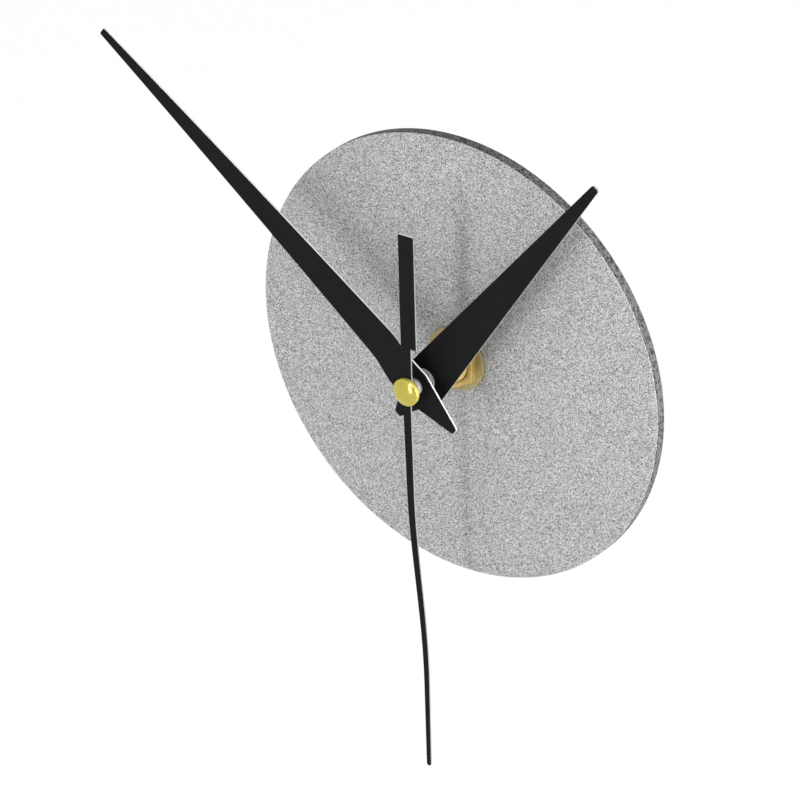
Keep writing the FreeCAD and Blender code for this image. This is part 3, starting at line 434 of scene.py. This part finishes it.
def turned(name, profile, segments=96, centre=(0, 0, 0), along_x=False, shape=None):
    """A piece turned about a line along Y, or X, from points given as radius and place.

    A profile that starts and ends off the line closes on itself, as a ring does. The shape
    is a function of radius, place and angle that gives the radius there.
    """
    made = bmesh.new()
    rings = []
    for radius, place in profile:
        if radius == 0:
            rings.append([made.verts.new((0, place, 0))])
            continue
        ring = []
        for index in range(segments):
            angle = 2 * math.pi * index / segments
            reach = shape(radius, place, angle) if shape else radius
            ring.append(made.verts.new((reach * math.sin(angle), place, reach * math.cos(angle))))
        rings.append(ring)
    pairs = list(zip(rings, rings[1:]))
    if len(rings[0]) > 1 and len(rings[-1]) > 1:
        pairs.append((rings[-1], rings[0]))
    for first, second in pairs:
        for index in range(segments):
            following = (index + 1) % segments
            corners = [first[index % len(first)], first[following % len(first)]]
            corners += [second[following % len(second)], second[index % len(second)]]
            made.faces.new(list(dict.fromkeys(corners)))
    bmesh.ops.recalc_face_normals(made, faces=made.faces)
    if along_x:
        bmesh.ops.rotate(made, verts=made.verts, matrix=Matrix.Rotation(-math.pi / 2, 3, "Z"))
    bmesh.ops.translate(made, verts=made.verts, vec=centre)
    mesh = bpy.data.meshes.new(name)
    made.to_mesh(mesh)
    made.free()
    piece = bpy.data.objects.new(name, mesh)
    bpy.context.scene.collection.objects.link(piece)
    return piece


# Pieces that are more than their solids
THREAD_RADIUS = 5 * MM
THREAD_HOLE = 5.1 * MM
HAND_SHEET = 0.5 * MM
# Points nearer the axis than this share of a shaped rim stay round
ROUND_SHARE = 0.9


def add_disc():
    """The disc with its edges broken and a fine lip where it was cut."""
    lip = 0.22 * MM
    corners = [
        (THREAD_HOLE, DISC_HIGH.y, 0),
        (DISC_RADIUS, DISC_HIGH.y, lip),
        (DISC_RADIUS, DISC_LOW.y, lip),
        (THREAD_HOLE, DISC_LOW.y, 0),
    ]
    disc = turned("disc_finished", rounded(corners, 3), segments=256)
    finish_mesh(disc, finishes["disc_metal"], sharp_degrees=25)
    stand_for(disc, "dial_disc")


def add_washer():
    """The washer, whose front rim is rounded by the stamping."""
    low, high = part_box("brass_washer")
    stamped_round = 0.32 * MM
    corners = [
        (THREAD_HOLE, high.y, 0.08 * MM),
        (high.x, high.y, 0.1 * MM),
        (high.x, low.y, stamped_round),
        (THREAD_HOLE, low.y, 0.12 * MM),
    ]
    washer = turned("washer_finished", rounded(corners), segments=128)
    finish_mesh(washer, dull_brass)
    stand_for(washer, "brass_washer")


def add_nut():
    """The nut: broken front edges, corners turned off by a cone, and a countersunk thread."""
    low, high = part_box("hex_nut")
    corner_radius = high.z
    half_flats = corner_radius * math.cos(math.pi / 6)
    edge_round = 0.3 * MM
    countersink = 0.35 * MM
    cone_front_radius = 7.2 * MM
    cone_spread = 1.3 * MM
    cone_depth = 0.35 * MM

    def hexagon(reach, place, angle):
        if reach < half_flats * ROUND_SHARE:
            return reach
        side = half_flats / math.cos(angle % (math.pi / 3) - math.pi / 6)
        cone_radius = cone_front_radius + (place - low.y) * cone_spread / cone_depth
        return min(side - (corner_radius - reach), cone_radius)

    corners = [
        (THREAD_RADIUS, high.y, 0),
        (corner_radius, high.y, edge_round),
        (corner_radius, low.y, edge_round),
        (THREAD_RADIUS + countersink, low.y, 0.08 * MM),
        (THREAD_RADIUS, low.y + countersink, 0),
    ]
    nut = turned("nut_finished", rounded(corners), segments=240, shape=hexagon)
    finish_mesh(nut, finishes["brass"])
    stand_for(nut, "hex_nut")


def add_bushing():
    """The bushing with its real thread where it stands out of the disc."""
    low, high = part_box("threaded_bushing")
    bore = 2.66 * MM
    bore_chamfer = 0.25 * MM
    pitch = 0.75 * MM
    thread_depth = 0.4 * MM
    lead_in_depth = 0.45 * MM
    flange_front = high.y - 0.8 * MM
    rings_per_pitch = 12

    def thread(reach, place, angle):
        if reach < THREAD_RADIUS or place > FACE_Y:
            return reach
        phase = (place / pitch + angle / (2 * math.pi)) % 1
        groove = thread_depth * (1 - abs(2 * phase - 1))
        lead_in = min(1, (place - low.y) / pitch)
        return min(reach - groove, THREAD_RADIUS - lead_in_depth * (1 - lead_in))

    profile = [(bore, high.y), (high.x, high.y), (high.x, flange_front), (THREAD_RADIUS, flange_front)]
    rings = int((FACE_Y - low.y) / pitch * rings_per_pitch)
    for ring in range(rings + 1):
        profile.append((THREAD_RADIUS, FACE_Y + (low.y - FACE_Y) * ring / rings))
    profile += [(bore + bore_chamfer, low.y), (bore, low.y + bore_chamfer)]
    bushing = turned("bushing_finished", profile, shape=thread)
    finish_mesh(bushing, finishes["brass"], sharp_degrees=40)
    stand_for(bushing, "threaded_bushing")


def add_collet(node, hand, finish, pipe, hand_hole, front_round):
    """A collar that grips its pipe and is spread over the hand's front."""
    low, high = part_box(node)
    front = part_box(hand)[0].y
    bore_round = 0.15 * MM
    corners = [
        (pipe, high.y, bore_round),
        (high.x, high.y, 0.35 * MM),
        (high.x, front + HAND_SHEET, 0),
        (hand_hole, front + HAND_SHEET, 0),
        (hand_hole, front, 0),
        (high.x, front, 0.05 * MM),
        (high.x, low.y, front_round),
        (pipe, low.y, bore_round),
    ]
    collet = turned(node + "_finished", rounded(corners), segments=72)
    finish_mesh(collet, finish)
    stand_for(collet, node)


def add_cap():
    """The cap: a short side, a fine corner, and a dome that is flat in its middle."""
    low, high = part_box("hand_cap")
    radius = high.x
    corner = 0.12 * MM
    bevel = corner * 0.3
    dome_radius = radius - corner
    dome_depth = 0.787 * MM
    dome_power = 2.86
    steps = 24
    rim_y = low.y + dome_depth
    profile = rounded([(0, high.y, 0), (radius, high.y, 0.1 * MM)], 3)
    profile += [(radius, rim_y + corner), (radius - bevel, rim_y + bevel)]
    for step in range(steps, -1, -1):
        share = step / steps
        profile.append((dome_radius * share, low.y + dome_depth * share**dome_power))
    cap = turned("cap_finished", profile)
    finish_mesh(cap, finishes["gold"], sharp_degrees=40)
    stand_for(cap, "hand_cap")


def add_knob():
    """The setting knob with a fluted edge on the solid's own arbor and pinion."""
    low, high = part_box("setting_knob")
    centre = ((low.x + high.x) / 2, 0, (low.z + high.z) / 2)
    radius = (high.x - low.x) / 2
    front = high.y - 1.2 * MM
    recess_floor = high.y - 0.35 * MM
    edge_round = 0.15 * MM
    flutes = 30
    flute_depth = 0.24 * MM

    def fluted(reach, place, angle):
        if reach < radius * ROUND_SHARE:
            return reach
        return reach - flute_depth / 2 * (1 + math.cos(flutes * angle))

    corners = [
        (0, front, 0),
        (radius, front, edge_round),
        (radius, high.y, 0.3 * MM),
        (radius * 0.72, high.y, edge_round),
        (radius * 0.62, recess_floor, edge_round),
        (0, recess_floor, 0),
    ]
    knob = turned("knob_finished", rounded(corners, 3), segments=240, centre=centre, shape=fluted)
    whole = bmesh.new()
    whole.from_mesh(nodes["setting_knob"].data)
    grip = [face for face in whole.faces if face.calc_center_median().y > front - 0.01 * MM]
    bmesh.ops.delete(whole, geom=grip, context="FACES")
    whole.from_mesh(knob.data)
    whole.to_mesh(knob.data)
    whole.free()
    finish_mesh(knob, finishes["knob_plastic"])
    stand_for(knob, "setting_knob")


def add_cell():
    """The cell: a sleeve rolled over its ends, bare steel within, and the nub."""
    low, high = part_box("battery_cell")
    centre = (0, (low.y + high.y) / 2, (low.z + high.z) / 2)
    radius = (high.z - low.z) / 2
    nub_radius = 2.75 * MM
    shoulder = high.x - 1.2 * MM
    nub_foot = shoulder - 0.4 * MM
    bare_radius = radius * 0.83
    corners = [
        (0, low.x, 0),
        (radius * 0.86, low.x, 0.2 * MM),
        (radius * 0.88, low.x + 0.25 * MM, 0.1 * MM),
        (radius, low.x + 0.1 * MM, 0.3 * MM),
        (radius, shoulder, 0.5 * MM),
        (radius * 0.8, shoulder, 0.2 * MM),
        (radius * 0.76, nub_foot, 0.2 * MM),
        (nub_radius, nub_foot, 0.1 * MM),
        (nub_radius, high.x, 0.4 * MM),
        (0, high.x, 0),
    ]
    cell = turned("cell_finished", rounded(corners, 3), centre=centre, along_x=True)
    finish_mesh(cell, finishes["cell_wrap"])
    cell.data.materials.append(finishes["plated_steel"])
    for face in cell.data.polygons:
        if math.hypot(face.center.y - centre[1], face.center.z - centre[2]) < bare_radius:
            face.material_index = 1
    stand_for(cell, "battery_cell")


add_camera()
for node, piece in nodes.items():
    piece.data.materials.clear()
    piece.data.materials.append(finishes[node_slots[node]])
# The minute hand takes the lit copy, whose cut edges carry a painted highlight
nodes["minute_hand"].data.materials[0] = highlight_painted_hand
add_disc()
add_washer()
add_nut()
add_bushing()
add_knob()
add_collet(
    "hour_hand_collet", "hour_hand", finishes["white_plastic"],
    pipe=2.6 * MM, hand_hole=2.9 * MM, front_round=0.12 * MM,
)
add_collet(
    "minute_hand_collet", "minute_hand", natural_nylon,
    pipe=1.65 * MM, hand_hole=1.95 * MM, front_round=0.3 * MM,
)
add_cap()
add_cell()
softened("movement_case", 0.3)
softened("back_cover", 0.15)


# Stage and light, in metres and watts
FLOOR_DROP = 300 * MM
FLOOR_SIZE = 40


def seen_directly(tree):
    """1 where the camera, a mirror or glass sees it, and 0 for all other light."""
    path = tree.nodes.new("ShaderNodeLightPath")
    seen = path.outputs["Is Camera Ray"]
    for name in ("Is Glossy Ray", "Is Transmission Ray"):
        either = tree.nodes.new("ShaderNodeMath")
        either.operation = "MAXIMUM"
        tree.links.new(seen, either.inputs[0])
        tree.links.new(path.outputs[name], either.inputs[1])
        seen = either.outputs[0]
    return seen


def add_floor():
    """A pale floor that still takes shadows, and is nearly white where it is seen."""
    glow_strength = 1.03
    glow_share = 0.9
    half = FLOOR_SIZE / 2
    level = cad_box[0][2] - FLOOR_DROP
    corners = [(-half, -half, level), (half, -half, level), (half, half, level), (-half, half, level)]
    mesh = bpy.data.meshes.new("floor")
    mesh.from_pydata(corners, [], [(0, 1, 2, 3)])
    floor = bpy.data.objects.new("floor", mesh)
    bpy.context.scene.collection.objects.link(floor)
    material = bpy.data.materials.new("pale_floor")
    material.use_nodes = True
    tree = material.node_tree
    base = tree.nodes["Principled BSDF"]
    base.inputs["Base Color"].default_value = rgba(grey(0.9))
    base.inputs["Roughness"].default_value = 0.9
    glow = tree.nodes.new("ShaderNodeEmission")
    glow.inputs["Strength"].default_value = glow_strength
    share = tree.nodes.new("ShaderNodeMath")
    share.operation = "MULTIPLY"
    share.inputs[1].default_value = glow_share
    mixed = tree.nodes.new("ShaderNodeMixShader")
    tree.links.new(seen_directly(tree), share.inputs[0])
    tree.links.new(share.outputs[0], mixed.inputs["Fac"])
    tree.links.new(base.outputs["BSDF"], mixed.inputs[1])
    tree.links.new(glow.outputs["Emission"], mixed.inputs[2])
    tree.links.new(mixed.outputs["Shader"], tree.nodes["Material Output"].inputs["Surface"])
    mesh.materials.append(material)


def add_world(level):
    """Even light of this level, and white where it is seen."""
    world = bpy.data.worlds.new("studio")
    bpy.context.scene.world = world
    world.use_nodes = True
    tree = world.node_tree
    background = tree.nodes["Background"]
    background.inputs["Color"].default_value = rgba(grey(1))
    strength = tree.nodes.new("ShaderNodeMapRange")
    strength.inputs["To Min"].default_value = level
    strength.inputs["To Max"].default_value = 1.0
    tree.links.new(seen_directly(tree), strength.inputs["Value"])
    tree.links.new(strength.outputs["Result"], background.inputs["Strength"])


def add_lamp(name, toward, distance, width, height, watts):
    """A soft lamp at a distance from the disc's middle, facing it."""
    data = bpy.data.lights.new(name, "AREA")
    data.shape = "RECTANGLE"
    data.size = width
    data.size_y = height
    data.energy = watts
    lamp = bpy.data.objects.new(name, data)
    bpy.context.scene.collection.objects.link(lamp)
    way = Vector(toward).normalized()
    lamp.location = Vector((0, FACE_Y, 0)) + way * distance
    lamp.rotation_euler = way.to_track_quat("Z", "Y").to_euler()


add_floor()
add_world(0.53)
add_lamp("key", (-0.07, -1, -0.1), distance=1.5, width=0.22, height=1.3, watts=8.2)
add_lamp("rim", (0.30, 0.70, 0.65), distance=1.3, width=0.5, height=0.5, watts=3)
add_lamp("side", (0.85, 0.12, 0.10), distance=0.8, width=0.18, height=0.4, watts=11)
add_lamp("fill", direction(CAMERA_TURN, CAMERA_RISE), distance=1.8, width=0.6, height=0.6, watts=7.5)
